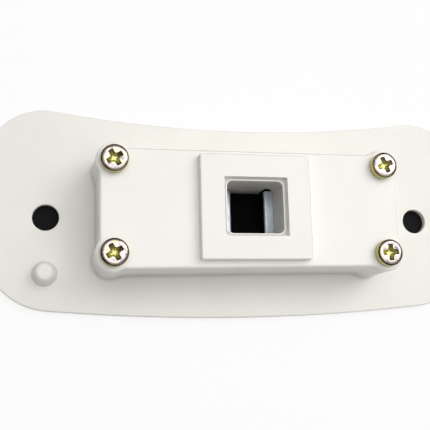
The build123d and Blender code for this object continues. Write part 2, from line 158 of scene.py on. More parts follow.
def bump(tree, shader, source, height_mm, strength=1.0):
    """Lets a noise tilt the surface as if it stood height_mm high. A second call adds to the first."""
    node = tree.nodes.new("ShaderNodeBump")
    node.inputs["Strength"].default_value = strength
    node.inputs["Distance"].default_value = height_mm * MM
    tree.links.new(source, node.inputs["Height"])
    if shader.inputs["Normal"].is_linked:
        tree.links.new(shader.inputs["Normal"].links[0].from_socket, node.inputs["Normal"])
    tree.links.new(node.outputs[0], shader.inputs["Normal"])

# %% [markdown]
# ## The white moulding
#
# The housing and the lid are moulded in a white plastic with a satin surface. A flat white looks like
# paper, so the finish has three scales: broad, faint patches where the plastic has yellowed or was handled,
# a mottled gloss of a few millimetres, and the fine grain that the mould was etched with. All three stay
# weak, because the part is clean. The black, red and rubber mouldings are the same finish with other
# values.

# %% Moulded plastic
def moulded(name, light, dark, roughness, grain_mm=0.16, grain_height_mm=0.006):
    """Satin plastic: two close tints in broad patches, gloss that varies, fine grain and a slow waviness."""
    material, tree, shader = new_material(name)
    patches = noise(tree, 22.0, 4.0)
    tree.links.new(ramp(tree, patches, [(0.35, dark), (0.65, light)]), shader.inputs["Base Color"])
    tree.links.new(
        spread(tree, noise(tree, 3.5, 5.0), roughness - 0.06, roughness + 0.06), shader.inputs["Roughness"]
    )
    shader.inputs["IOR"].default_value = 1.5
    shader.inputs["Specular IOR Level"].default_value = 0.4
    bump(tree, shader, noise(tree, 9.0, 1.0), 0.02)
    bump(tree, shader, noise(tree, grain_mm, 2.0), grain_height_mm)
    return material


shell_white = moulded("shell_white", linear(240, 238, 232), linear(236, 234, 228), roughness=0.46)
lid_white = moulded("lid_white", linear(247, 245, 241), linear(244, 242, 237), roughness=0.44)

# %% Black, red and rubber mouldings
# the carrier's own black plastic, made darker and duller than that plastic is, as painted shade for the deep
# floor of the socket
base_black_and_shade = moulded(
    "base_black_and_shade", linear(7, 7, 8), linear(4, 4, 5), roughness=0.72, grain_mm=0.25, grain_height_mm=0.012
)
principled(base_black_and_shade).inputs["Specular IOR Level"].default_value = 0.06  # dull, deep black
switch_black = moulded(
    "switch_black",
    linear(36, 36, 38),
    linear(28, 28, 30),
    roughness=0.42,
    grain_mm=0.12,
    grain_height_mm=0.008,
)
button_red = moulded(
    "button_red", linear(172, 40, 32), linear(150, 30, 26), roughness=0.3, grain_mm=0.3, grain_height_mm=0.002
)
rubber_black = moulded(
    "rubber_black", linear(34, 33, 33), linear(26, 26, 26), roughness=0.72, grain_mm=0.4, grain_height_mm=0.02
)
print("plastics:", [m.name for m in bpy.data.materials if m.name.split("_")[-1] in ("white", "black", "red")])

# %% [markdown]
# ## Painted shade that lies at known places
#
# Two marks on the white lid don't follow a noise, and both are painted shade. The walls of the key
# socket are painted a little grey, more so the deeper they lie, as the shade that deepens down the socket.
# The upper edges of lid and pad carry a fine painted line of shade on their +X and +Y sides. A painted
# image could show them, but it would need a map of the whole surface. A mask worked out from a point's
# own X, Y and Z needs none, and it moves with the piece.

# %% Masks from a point's place on the object
def combined(tree, operation, first, second):
    """One Math node on two values, each of them a socket or a plain number."""
    node = tree.nodes.new("ShaderNodeMath")
    node.operation = operation
    for entry, value in zip(node.inputs, (first, second)):
        if isinstance(value, (int, float)):
            entry.default_value = value
        else:
            tree.links.new(value, entry)
    return node.outputs[0]


def place_parts(tree, unsigned=False):
    """The X, Y and Z of a point on the object, in metres, and without their signs if that is asked for."""
    place = tree.nodes.new("ShaderNodeTexCoord").outputs["Object"]
    if unsigned:
        absolute = tree.nodes.new("ShaderNodeVectorMath")
        absolute.operation = "ABSOLUTE"
        tree.links.new(place, absolute.inputs[0])
        place = absolute.outputs[0]
    split = tree.nodes.new("ShaderNodeSeparateXYZ")
    tree.links.new(place, split.inputs[0])
    return tuple(split.outputs)


def recoloured(material, mask, colour, blend="MIX"):
    """Lays a colour over a finish where a mask is one: it takes the finish's place, or multiplies it."""
    tree, shader = material.node_tree, principled(material)
    mix = tree.nodes.new("ShaderNodeMixRGB")
    mix.blend_type = blend
    tree.links.new(mask, mix.inputs["Fac"])
    tree.links.new(shader.inputs["Base Color"].links[0].from_socket, mix.inputs["Color1"])
    if isinstance(colour, tuple):
        mix.inputs["Color2"].default_value = colour
    else:
        tree.links.new(colour, mix.inputs["Color2"])
    tree.links.new(mix.outputs["Color"], shader.inputs["Base Color"])


# %% Painted shade in the key socket, darker with depth
def painted_shade_within(material, half_x_mm, half_y_mm, low_mm, high_mm, low_share, high_share):
    """Painted shade: multiplies a finish by a share that falls with depth, inside a square shaft, where X, Y
    and Z, each divided by its limit, are all below one."""
    tree = material.node_tree
    limits = zip(place_parts(tree, unsigned=True), (half_x_mm, half_y_mm, high_mm))
    x, y, z = (combined(tree, "DIVIDE", part, limit * MM) for part, limit in limits)
    largest = combined(tree, "MAXIMUM", combined(tree, "MAXIMUM", x, y), z)
    inside = combined(tree, "LESS_THAN", largest, 1.0)
    share = spread(tree, z, low_share, high_share, low_mm / high_mm, 1.0)
    recoloured(material, inside, share, "MULTIPLY")


socket = {"half_x_mm": 8.4, "half_y_mm": 7.68, "low_mm": 9.95, "high_mm": 19.3}
# painted shade on the socket's walls, darker the deeper they lie
painted_shade_within(lid_white, **socket, low_share=0.62, high_share=0.84)
print("socket greyed between the levels", socket["low_mm"], "and", socket["high_mm"], "mm")


# %% Painted line of shade along the upper edges
def painted_edge_shade(material, half_x_mm, half_y_mm, corner_mm, level_mm, share):
    """Painted shade: multiplies a finish by a share where an upper edge rounds over, on the sides that face
    +X and +Y. The mask is a product of three: how near the outline, how far from its corners, and how near
    the face a point lies."""
    near_mm, ends_mm, below_mm = (0.35, 0.1), (2.0, -0.5), (0.6, 0.42)  # each from nothing to full, or back
    tree = material.node_tree
    east, north, height = place_parts(tree)
    along_x, along_y, _ = place_parts(tree, unsigned=True)
    lines = []
    sides = ((east, half_x_mm, along_y, half_y_mm), (north, half_y_mm, along_x, half_x_mm))
    for out, half, along, length in sides:
        near = spread(tree, out, 0.0, 1.0, *((half - inside) * MM for inside in near_mm))
        within = spread(tree, along, 1.0, 0.0, *((length - corner_mm - before) * MM for before in ends_mm))
        lines.append(combined(tree, "MULTIPLY", near, within))
    above = spread(tree, height, 0.0, 1.0, *((level_mm - below) * MM for below in below_mm))
    mask = combined(tree, "MULTIPLY", combined(tree, "MAXIMUM", *lines), above)
    recoloured(material, mask, (share, share, share, 1.0), "MULTIPLY")


# painted line of shade along the +X and +Y upper edges of the lid and of the pad
painted_edge_shade(lid_white, half_x_mm=39.7, half_y_mm=15.06, corner_mm=7.2, level_mm=18.25, share=0.52)
painted_edge_shade(lid_white, half_x_mm=14.55, half_y_mm=13.62, corner_mm=0.0, level_mm=20.75, share=0.7)
print("lid finish:", len(lid_white.node_tree.nodes), "shader nodes")

# %% [markdown]
# ## Plated and bare metal
#
# The lid screws are steel, zinc plated and passivated yellow. The film is so thin that its colour drifts
# from green to straw across one head, so the colour follows a noise. The spring strip is rolled bright: its
# fine lines all run the way it was rolled, which a noise stretched along one axis gives.

# %% Metals
def metal(name, stops, size_mm, roughness, stretch=(1, 1, 1), lines_mm=0.0, height_mm=0.002):
    """Bare or plated metal: colours along a noise, gloss that varies with it, and fine lines or grain."""
    material, tree, shader = new_material(name)
    film = noise(tree, size_mm, 3.0)
    tree.links.new(ramp(tree, film, stops), shader.inputs["Base Color"])
    shader.inputs["Metallic"].default_value = 1.0
    tree.links.new(
        spread(tree, noise(tree, size_mm * 0.6, 4.0), roughness * 0.75, roughness * 1.3),
        shader.inputs["Roughness"],
    )
    bump(tree, shader, noise(tree, lines_mm or 0.15, 2.0, stretch), height_mm)
    return material


yellow_zinc = metal(
    "yellow_zinc",
    [(0.30, linear(182, 182, 106)), (0.50, linear(196, 193, 126)), (0.70, linear(200, 190, 136))],
    size_mm=1.4,
    roughness=0.22,
)
bright_strip = metal(
    "bright_strip",
    [(0.3, linear(186, 193, 202)), (0.7, linear(204, 210, 218))],
    size_mm=2.5,
    roughness=0.5,
    stretch=(1, 0.04, 1),
    lines_mm=0.12,
)

# %% Metals inside
screw_steel = metal(
    "screw_steel", [(0.3, linear(196, 197, 200)), (0.7, linear(214, 214, 216))], size_mm=1.0, roughness=0.25
)
rolled = {"stretch": (0.05, 1, 1), "lines_mm": 0.1}
contact_copper = metal(
    "contact_copper",
    [(0.3, linear(214, 168, 120)), (0.7, linear(226, 184, 138))],
    size_mm=1.5,
    roughness=0.25,
    **rolled,
)
terminal_brass = metal(
    "terminal_brass",
    [(0.3, linear(212, 186, 124)), (0.7, linear(224, 202, 146))],
    size_mm=1.5,
    roughness=0.28,
    **rolled,
)
print("metals:", [m.name for m in (yellow_zinc, bright_strip, screw_steel, contact_copper, terminal_brass)])

# %% [markdown]
# ## The two tones of the screw heads
#
# A head isn't the same colour all over. The sloping shoulder is painted brown as a painted dark reflection
# of the room it mirrors, and the flat disc round the cross has the pinkish cast of the yellow film. Both
# begin at a height, so each is a second run of colours that is laid over the first above a level, and a noise
# of its own breaks it up. Separate materials on separate faces would leave hard edges.

# %% Painted dark reflection on the shoulder, pinkish disc
def two_tone(material, stops, size_mm, level_mm, soft_mm):
    """Lays a second run of colours over a finish above a level of the frame, with a soft start."""
    tree = material.node_tree
    _, _, height = place_parts(tree)
    mask = spread(tree, height, 0.0, 1.0, (level_mm - soft_mm) * MM, level_mm * MM)
    recoloured(material, mask, ramp(tree, noise(tree, size_mm, 3.0), stops))


shoulder_painted_reflection = [(0.34, linear(88, 74, 54)), (0.5, linear(138, 120, 94)), (0.66, linear(190, 168, 140))]
disc_pinks = [(0.36, linear(158, 144, 150)), (0.5, linear(198, 188, 188)), (0.66, linear(196, 190, 150))]
# the shoulder's browns are a painted dark reflection, laid over the plating's yellow
two_tone(yellow_zinc, shoulder_painted_reflection, size_mm=2.4, level_mm=20.28, soft_mm=0.06)
two_tone(yellow_zinc, disc_pinks, size_mm=1.1, level_mm=20.63, soft_mm=0.06)
print("screw finish:", len(yellow_zinc.node_tree.nodes), "shader nodes")

# %% [markdown]
# ## Finishes of the parts inside
#
# The carrier, the snap switches and their screws keep the shapes that they came with, because they only
# show when the switch is taken apart. Each still gets the finish it is made in: black plastic for the
# cases, red for the button, copper for the contact blade, brass for the terminals and bright steel for the
# rest. A node's name ends in what it is, on the left as on the right, so the endings choose the finish.

# %% Materials of the parts inside
inside_finishes = {
    "contact_carrier": base_black_and_shade,
    "switch_screws": screw_steel,
    "switch_case": switch_black,
    "switch_cover": switch_black,
    "lever_pin": screw_steel,
    "switch_lever": bright_strip,
    "switch_button": button_red,
    "contact_blade": contact_copper,
    "terminal": terminal_brass,
}
for name, node in nodes.items():
    for ending, finish in inside_finishes.items():
        if name.endswith(ending):
            node.data.materials.clear()
            node.data.materials.append(finish)
            break
print("dressed inside:", sum(node.data.materials[0].name in bpy.data.materials for node in nodes.values()))

# %% [markdown]
# ## Shapes as grids of numbers
#
# Box, pad, socket and screw all look different, yet each is a stack of closed outlines around one axis. So
# one helper is enough: it takes rows of points, joins every point to its neighbours, and closes the ends.

# %% Closed surfaces from rows of points
def surface(name, rows, material, loop=False, sharp=38.0):
    """A closed mesh from points in millimetres with the shape (rows, columns, 3).

    Point j of a row joins point j + 1 of that row and point j of the next row, and the last column joins
    the first. The last row joins the first if loop is true. Otherwise each end row is closed by a fan
    round its middle.
    """
    rows = np.asarray(rows, float)
    count, columns = rows.shape[:2]
    index = np.arange(count * columns).reshape(count, columns)
    here = index if loop else index[:-1]
    there = np.roll(index, -1, axis=0) if loop else index[1:]
    quads = [here, np.roll(here, -1, axis=1), np.roll(there, -1, axis=1), there]
    points = rows.reshape(-1, 3)
    faces = np.stack(quads, axis=-1).reshape(-1, 4).tolist()
    if not loop:
        for edge, turn in ((index[0], 1), (index[-1], -1)):
            pole = len(points)
            points = np.vstack([points, points[edge].mean(axis=0)])
            fan = np.stack([np.full(columns, pole), np.roll(edge, -1), edge], axis=-1)[:, ::turn]
            faces += fan.tolist()
    corners = points[np.array([face[:3] for face in faces])]
    others = points[np.array([[face[0], face[-2], face[-1]] for face in faces])]
    if sum((t[:, 0] * np.cross(t[:, 1], t[:, 2])).sum() for t in (corners, others)) < 0:
        faces = [face[::-1] for face in faces]
    mesh = bpy.data.meshes.new(name)
    mesh.from_pydata((points * MM).tolist(), [], faces)
    mesh.materials.append(material)
    return finished(bpy.data.objects.new(name, mesh), sharp)


def finished(piece, sharp=38.0):
    """Puts a new piece in the scene, smooth but for the edges that turn by more than sharp degrees."""
    if not piece.users_collection:
        scene.collection.objects.link(piece)
    mesh = piece.data
    mesh.polygons.foreach_set("use_smooth", np.ones(len(mesh.polygons), bool))
    mesh.set_sharp_from_angle(angle=math.radians(sharp))
    mesh.update()
    return piece


def belongs(piece, body, slot, *replaced):
    """What every piece says: the body it rides on and the plain parts it replaces, which it hides. The
    record's finish, slot, is not used.
    """
    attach(piece, body)
    if replaced:
        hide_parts(*replaced)
    print(f"{piece.name}: {len(piece.data.polygons)} faces on {body}")

# %% [markdown]
# ## Outlines from a formula
#
# A rounded rectangle could be drawn as lines and arcs, but the box with its four corner bosses would need
# the places where they all meet. Seen from the middle, an outline made of boxes and discs is simply the
# farthest of them in each direction. That works for both, and every outline then answers the same question:
# how far out at this angle?

# %% Outlines as a distance from the middle
def reach(angles, boxes, discs=()):
    """How far an outline lies from the middle along each angle: the farthest point at which the ray
    leaves one of the boxes (half width over cosine, or half height over sine) or one of the discs (x, y,
    radius)."""
    c, s = np.cos(angles), np.sin(angles)
    far = np.zeros_like(angles)
    for half_x, half_y in boxes:
        over_x, over_y = half_x / np.maximum(np.abs(c), 1e-9), half_y / np.maximum(np.abs(s), 1e-9)
        far = np.maximum(far, np.minimum(over_x, over_y))
    for x, y, radius in discs:
        along = x * c + y * s
        under = along**2 - (x * x + y * y - radius * radius)
        exits = along + np.sqrt(np.maximum(under, 0))
        far = np.where((under > 0) & (exits > far), exits, far)
    return far


def rounded(half_x, half_y, corner):
    """A rounded rectangle: two crossed boxes and a disc in each corner. An inset shrinks them all."""

    def outline(angles, inset=0.0):
        boxes = [(half_x - inset, half_y - corner), (half_x - corner, half_y - inset)]
        middles = [(i * (half_x - corner), j * (half_y - corner)) for i in (-1, 1) for j in (-1, 1)]
        return reach(angles, boxes, [(x, y, max(corner - inset, 0.01)) for x, y in middles])

    return outline


# %% Outline of the box with its bosses
def softer_maximum(first, second, width):
    """The larger of two numbers, with the crossing rounded: half of their sum plus the root of their
    difference squared plus the width squared."""
    return (first + second + np.sqrt((first - second) ** 2 + width**2)) / 2


boss_places = [(x, y) for x in (-36.05, 36.05) for y in (11.82, -11.82)]
boss_radius = 4.7
upper_box, lower_box = rounded(39.7, 15.06, 3.0), rounded(39.7, 15.5, 3.0)
lower_lean = 0.007  # radians: the lower wall is a little out of square, as it came from the mould


def box_outline(angles, inset=0.0):
    """The box with its four corner bosses: the farther of box and boss discs, softly joined."""
    discs = reach(angles, [], [(x, y, boss_radius - inset) for x, y in boss_places])
    plain = np.where(np.sin(angles) < 0, lower_box(angles - lower_lean, inset), upper_box(angles, inset))
    joined = softer_maximum(plain, discs, 0.25)
    return np.where(discs > 0, joined, plain)


# %% Angles that suit several outlines
def shared_angles(outlines, count):
    """Angles that suit several outlines at once. Each outline's share of its length and of its turning is
    added up along the angle, and the sum is cut into equal parts: long runs and tight corners both get
    their points."""
    fine = np.linspace(0, 2 * np.pi, 36001)
    measure = np.zeros(len(fine) - 1)
    for outline in outlines:
        far = outline(fine)
        x_step, y_step = np.diff(far * np.cos(fine)), np.diff(far * np.sin(fine))
        length = np.hypot(x_step, y_step)
        heading = np.unwrap(np.arctan2(y_step, x_step))
        turning = np.abs(np.diff(heading, prepend=heading[0]))
        measure += length / length.sum() + turning / turning.sum()
    total = np.concatenate([[0], np.cumsum(measure)])
    return np.interp(np.linspace(0, total[-1], count, endpoint=False), total, fine)

# %% [markdown]
# ## Profiles
#
# A stack is a list of steps, each an outline, an inset and a height. The mould leaves a small round on
# every edge and in every root, and those rounds catch the light, so each of them is a quarter circle of
# steps. A Bevel modifier would round the edges as well, but each of them would then need its own weight.

# %% Rows of a stack, and its edge rounds
def stack(angles, profile, middle=(0.0, 0.0)):
    """Rows of points from a profile of (outline, inset, height) steps, in millimetres, around a middle."""
    rows = []
    for outline, inset, height in profile:
        far = outline(angles, inset)
        x, y = middle[0] + far * np.cos(angles), middle[1] + far * np.sin(angles)
        rows.append(np.stack([x, y, np.full_like(x, height)], axis=-1))
    return np.array(rows)


def quarter_round(outline, inset, low, radius, steps=7):
    """An outer edge rounded over, from its upright side to its flat top: the inset grows as radius times
    one minus the cosine of the angle, and the height as radius times its sine."""
    turn = np.linspace(0, np.pi / 2, steps)
    return [(outline, inset + radius * (1 - np.cos(a)), low + radius * np.sin(a)) for a in turn]


def quarter_hollow(outline, inset, low, radius, steps=5):
    """The small root where a wall stands on a floor, from the floor to the wall: a quarter circle seen
    from outside, so the inset grows as radius times the sine, and the height as radius times one minus
    the cosine."""
    turn = np.linspace(0, np.pi / 2, steps)
    return [(outline, inset - radius * (1 - np.sin(a)), low + radius * (1 - np.cos(a))) for a in turn]


def lip_round(outline, inset, top, radius, steps=7):
    """The rounded lip of a hole, from the floor round it down to its wall: the inset grows as the radius
    times the sine of the angle, and the height falls as the radius times one minus its cosine."""
    turn = np.linspace(0, np.pi / 2, steps)
    return [(outline, inset - radius * (1 - np.sin(a)), top - radius * (1 - np.cos(a))) for a in turn]


# %% Turned pieces and cuts
def circle(radius):
    """A round outline."""
    return lambda angles, inset=0.0: np.full_like(angles, radius - inset)


def turned(name, profile, material, middle=(0.0, 0.0), columns=64, loop=False, sharp=38.0):
    """A piece turned on a lathe: each (radius, height) of the profile carried round the axis."""
    angles = np.linspace(0, 2 * np.pi, columns, endpoint=False)
    steps = [(circle(radius), 0.0, height) for radius, height in profile]
    return surface(name, stack(angles, steps, middle), material, loop, sharp)


def cut_away(piece, cutters, sharp=38.0):
    """Cuts the cutters out of a piece with Boolean modifiers, keeps the result and drops the cutters."""
    for cutter in cutters:
        modifier = piece.modifiers.new("cut", "BOOLEAN")
        modifier.operation = "DIFFERENCE"
        modifier.solver = "EXACT"
        modifier.object = cutter
    bpy.context.view_layer.update()
    cut_piece = piece.evaluated_get(bpy.context.evaluated_depsgraph_get())
    result = bpy.data.meshes.new_from_object(cut_piece)
    piece.modifiers.clear()
    piece.data = result
    for cutter in cutters:
        bpy.data.objects.remove(cutter)
    return finished(piece, sharp)

# %% [markdown]
# ## The housing: plate and box in one moulding
#
# The plate is shaped like a saddle seen from above: its upper long edge is hollow and its lower one bows
# out, both as very large arcs, with big round corners at the ends. The box stands on it with one degree of
# draft, so that it could leave its mould, and with a small root where wall meets plate. All of that is one
# stack of outlines, from the middle of the back, round the plate's edge, up the box, over its rim and down
# to the floor inside.

# %% Plate outline
plate_half = 69.0
top_middle, top_radius, top_corner = 25.4, 343.0, 15.6
bottom_middle, bottom_radius, bottom_corner = -27.5, 562.0, 18.0


def plate_outline(angles, inset=0.0):
    """The saddle: a hollow top arc, a bowed bottom arc and upright ends, joined by corner arcs that touch
    both. Each corner's middle lies one corner radius inside the end, and as far from the long arc's
    middle as the two radii added (on the hollow side) or taken from each other (on the bowed side). An
    inset moves all inwards."""
    end = plate_half - inset
    top_y, bottom_y = top_middle + top_radius, bottom_middle + bottom_radius  # the same at any inset
    outline = []
    for radius_long, middle_y, corner, side in (
        (top_radius + inset, top_y, top_corner - inset, 1),
        (bottom_radius - inset, bottom_y, bottom_corner - inset, -1),
    ):
        corner_x = end - corner
        corner_y = middle_y - np.sqrt((radius_long + side * corner) ** 2 - corner_x**2)
        along = np.linspace(0, corner_x * radius_long / (radius_long + side * corner), 400)
        edge = np.stack([along, middle_y - np.sqrt(radius_long**2 - along**2)], axis=-1)
        start = np.arctan2(edge[-1, 1] - corner_y, edge[-1, 0] - corner_x)
        turn = np.linspace(start, 0, 200)
        bend = np.stack([corner_x + corner * np.cos(turn), corner_y + corner * np.sin(turn)], axis=-1)
        outline.append(np.vstack([edge, bend]))
    upright = np.linspace(outline[1][-1], outline[0][-1], 60)[1:-1]
    right = np.vstack([outline[1], upright, outline[0][::-1]])
    left = right[::-1] * [-1, 1]
    ring = np.vstack([right, left[1:-1]])
    direction = np.unwrap(np.arctan2(ring[:, 1], ring[:, 0]))
    order = np.argsort(direction)
    direction, far = direction[order], np.hypot(ring[:, 0], ring[:, 1])[order]
    turns = 2 * np.pi
    wrapped = np.concatenate([direction - turns, direction, direction + turns])
    return np.interp(angles, wrapped, np.tile(far, 3))


plate_far = plate_outline(np.linspace(0, 2 * np.pi, 720))
print("plate outline in mm: nearest", round(plate_far.min(), 2), "farthest", round(plate_far.max(), 2))


# %% Hollow of the box
def inside_outline(angles, inset=0.0):
    """The hollow of the box: the plain inner rectangle, stopped where a ray first meets a corner boss."""
    far = reach(angles, [(37.7 - inset, 13.2 - inset)])
    c, s = np.cos(angles), np.sin(angles)
    for x, y in boss_places:
        along = x * c + y * s
        under = along**2 - (x * x + y * y - boss_radius**2)
        meets = along - np.sqrt(np.maximum(under, 0))
        far = np.where((under > 0) & (along > 0), np.minimum(far, meets), far)
    return far


# %% Housing surface
draft = math.tan(math.radians(1.0))
plate_top, rim_level = 2.0, 16.25
foot_inset = -(rim_level - plate_top) * draft
edge_round, root_round = 0.45, 0.9

housing_profile = [(plate_outline, 3.0, 0.0), (plate_outline, 0.2, 0.0), (plate_outline, 0.15, 0.0)]
housing_profile += [(plate_outline, 0.05, 0.04), (plate_outline, 0.0, 0.15), (plate_outline, 0.0, 0.3)]
housing_profile += quarter_round(plate_outline, 0.0, plate_top - edge_round, edge_round, 8)
housing_profile += [(plate_outline, edge_round + 0.06, plate_top), (plate_outline, 3.0, plate_top)]
housing_profile += [(box_outline, foot_inset - root_round - 0.06, plate_top)]
housing_profile += quarter_hollow(box_outline, foot_inset, plate_top, root_round, 6)
housing_profile += [
    (box_outline, -(rim_level - level) * draft, level) for level in (2.5, 6.0, 11.0, 15.9, rim_level - 0.12)
]
housing_profile += [(box_outline, 0.04, rim_level - 0.03), (box_outline, 0.12, rim_level)]
housing_profile += [(inside_outline, 0.0, rim_level), (inside_outline, 0.0, plate_top)]
housing_profile += [(inside_outline, 6.0, plate_top)]

housing_angles = shared_angles([plate_outline, box_outline, box_outline, inside_outline], 960)
housing_rows = stack(housing_angles, housing_profile)
print("plate in mm:", np.round(np.ptp(housing_rows[:12].reshape(-1, 3), axis=0), 2).tolist())
plate_and_box = surface("plate_and_box", housing_rows, shell_white)

# %% [markdown]
# ## Holes, peg and pins
#
# The plate has a bolt hole at each side, each boss has a bore for its screw, and the floor has a hole for
# the cable. None of them lies in the middle of the stack, so each is turned as a plug of its own and cut
# out with a Boolean. A plug that is wider at its ends leaves the small rounds of a moulded hole. The peg
# and the two pins are turned as well, and simply stand on the plate with their feet a little inside it.

# %% Holes in the housing
hole_places = [(-53.05, -0.3), (53.05, -0.3)]
hole_cutter = [(3.85, -1.0), (3.85, -0.02), (3.62, 0.08), (3.5, 0.3), (3.5, 1.7)]
hole_cutter += [(3.53, 1.86), (3.62, 1.96), (3.9, 2.03), (3.9, 3.0)]
bore_cutter = [(1.8, 4.9), (1.8, 15.95), (2.0, 16.3), (2.0, 17.0)]
cutters = [turned("cutter", hole_cutter, shell_white, place, 72) for place in hole_places]
cutters += [turned("cutter", bore_cutter, shell_white, place, 40) for place in boss_places]
grommet_place = (-33.2, 0.0)
grommet_cutter = [(4.05, -1.0), (4.05, 0.8), (3.0, 0.8), (3.0, 3.0)]
cutters.append(turned("cutter", grommet_cutter, shell_white, grommet_place, 64))
cut_away(plate_and_box, cutters)
belongs(plate_and_box, "housing", "white_shell", "housing_body")

# %% Peg beside the left hole, and the pins that hold the base
quarter_turn = np.linspace(0, np.pi / 2, 9)
peg_place, peg_radius, peg_top, peg_root = (-53.05, -15.2), 3.15, 6.6, 0.3
peg_flat, shoulder_width, shoulder_drop = 1.3, 1.0, 0.8
peg_profile = [(peg_radius + peg_root, plate_top - 0.3), (peg_radius + peg_root, plate_top)]
peg_profile += [
    (peg_radius + peg_root * (1 - math.sin(a)), plate_top + peg_root * (1 - math.cos(a)))
    for a in quarter_turn
]
peg_profile += [(3.1, 2.9), (2.96, 4.0), (2.66, 5.0)]
peg_profile += [
    (peg_flat + shoulder_width * math.cos(a), peg_top - shoulder_drop * (1 - math.sin(a)))
    for a in quarter_turn
]
peg_profile += [(0.9, peg_top), (0.4, peg_top)]
locating_peg = turned("locating_peg", peg_profile, shell_white, peg_place, 72)
belongs(locating_peg, "housing", "white_shell", "housing_body")

pin_profile = [(1.25, 1.9), (1.25, 4.3), (1.1, 4.55), (0.6, 4.6)]
for side, x in (("left", -27.0), ("right", 27.0)):
    pin = turned(f"{side}_base_pin", pin_profile, shell_white, (x, 0), 40)
    belongs(pin, "housing", "white_shell", "housing_body")

# %% [markdown]
# ## The lid
#
# The lid closes the box and carries the socket: a raised pad, a shallow recess that takes the key's flange,
# and the square throat that its shank drops into, whose rim stands inside a narrow groove. It is one more
# stack of outlines. It starts at the seam, goes up the edge, across the face, up the pad, over into the
# recess, through the groove, over the rim and down the throat, and comes back underneath. The rounds along
# the way draw the bright lines round the throat.

# %% Lid surface
lid_top, pad_top, rim_top, groove_floor, sleeve_end = 18.25, 20.75, 19.4, 18.8, 9.95
lid_round, pad_round = 0.7, 0.3
pad = rounded(14.55, 13.625, 0.55)
recess = rounded(8.35, 7.625, 0.2)
throat = rounded(7.45, 6.83, 1.5)
sleeve = rounded(8.95, 8.33, 0.6)
pad_hollow = rounded(12.45, 11.525, 0.5)

lid_profile = [(box_outline, 0.3, rim_level), (box_outline, 0.10, rim_level)]
lid_profile += [(box_outline, 0.03, rim_level + 0.03)]
lid_profile += [(box_outline, 0.0, rim_level + 0.1), (box_outline, 0.0, 17.0)]
lid_profile += quarter_round(box_outline, 0.0, lid_top - lid_round, lid_round, 10)
lid_profile += [(box_outline, lid_round + 0.06, lid_top), (pad, -0.25, lid_top)]
lid_profile += quarter_hollow(pad, -0.04, lid_top, 0.15, 5)
lid_profile += [(pad, -0.03, 19.2)]
lid_profile += quarter_round(pad, 0.0, pad_top - pad_round, pad_round, 8)
lid_profile += [(pad, pad_round + 0.06, pad_top), (recess, -0.16, pad_top), (recess, -0.1, pad_top)]
lid_profile += [(recess, -0.03, pad_top - 0.03), (recess, 0.0, pad_top - 0.1)]
lid_profile += [(recess, 0.0, groove_floor + 0.06), (recess, 0.03, groove_floor + 0.01)]
lid_profile += [(recess, 0.06, groove_floor), (throat, -0.41, groove_floor)]
lid_profile += [(throat, -0.37, groove_floor + 0.02), (throat, -0.35, groove_floor + 0.08)]
lid_profile += [(throat, -0.35, rim_top - 0.1), (throat, -0.32, rim_top - 0.03), (throat, -0.25, rim_top)]
lid_profile += lip_round(throat, 0.0, rim_top, 0.15, 6)
lid_profile += [(throat, 0.0, 18.5), (throat, 0.0, 14.0), (throat, 0.0, sleeve_end + 0.22)]
lid_profile += [(throat, -0.28, sleeve_end), (sleeve, 0.1, sleeve_end), (sleeve, 0.0, sleeve_end + 0.1)]
lid_profile += [(sleeve, 0.0, lid_top), (pad_hollow, 0.0, lid_top)]
lid_profile += [(pad_hollow, 0.0, rim_level + 0.1), (pad_hollow, -0.1, rim_level)]

lid_angles = shared_angles([box_outline, pad, recess, throat], 760)
lid_cover = surface("lid_cover", stack(lid_angles, lid_profile), lid_white, loop=True)
screw_cutter = [(1.95, 15.0), (1.95, 20.0)]
cutters = [turned("cutter", screw_cutter, lid_white, place, 40) for place in boss_places]
cut_away(lid_cover, cutters)
belongs(lid_cover, "housing", "white_lid", "lid")

# %% [markdown]
# ## Tongues and lips under the lid
#
# Two tongues carry the throat's walls on down to the base, between the clips, and a thin lip along each
# side sets the lid in the box. They are plain bars that nobody sees with the lid on. A cube with a Bevel
# modifier would do, but the helpers for rounded outlines are at hand, so a bar is a short stack with its
# edges eased.

# %% Guide tongues and locating lips
def block(name, half_x, half_y, low, high, material, middle=(0.0, 0.0), corner=0.2):
    """A plain moulded bar with every edge a little rounded."""
    outline = rounded(half_x, half_y, corner)
    soft = corner * 0.6
    steps = [(outline, soft, low), (outline, soft * 0.3, low + soft * 0.3), (outline, 0.0, low + soft)]
    steps += [(outline, 0.0, high - soft), (outline, soft * 0.3, high - soft * 0.3), (outline, soft, high)]
    angles = shared_angles([outline], 96)
    return surface(name, stack(angles, steps, middle), material)


tongue_levels, lip_levels = (3.2, sleeve_end + 0.05), (15.25, rim_level + 0.05)  # 0.05 mm into the lid
tongue_out, long_lip_out, short_lip_out = 7.58, 12.55, 37.05
for side, sign in (("upper", 1), ("lower", -1)):
    middle = (0, sign * tongue_out)
    tongue = block(f"{side}_tongue", 5.25, 0.75, *tongue_levels, lid_white, middle, corner=0.08)
    belongs(tongue, "housing", "white_lid", "lid")
    lip = block(f"{side}_lip", 31.0, 0.5, *lip_levels, lid_white, (0, sign * long_lip_out))
    belongs(lip, "housing", "white_lid", "lid")
for side, sign in (("left", -1), ("right", 1)):
    lip = block(f"{side}_lip", 0.5, 6.8, *lip_levels, lid_white, (sign * short_lip_out, 0))
    belongs(lip, "housing", "white_lid", "lid")

# %% [markdown]
# ## Lid screws
#
# Pan head tapping screws, zinc plated and passivated yellow. A head with a cross painted on it never looks
# right, because a real recess shows its own walls and a bright spot at its bottom. So the cross is cut into
# the head. Its outline is two crossed bars and a disc, and its floor is a shallow star that bends up into
# the four arms. The same surface goes on over the head, under it, and down a thread whose crest climbs one
# pitch in each turn.

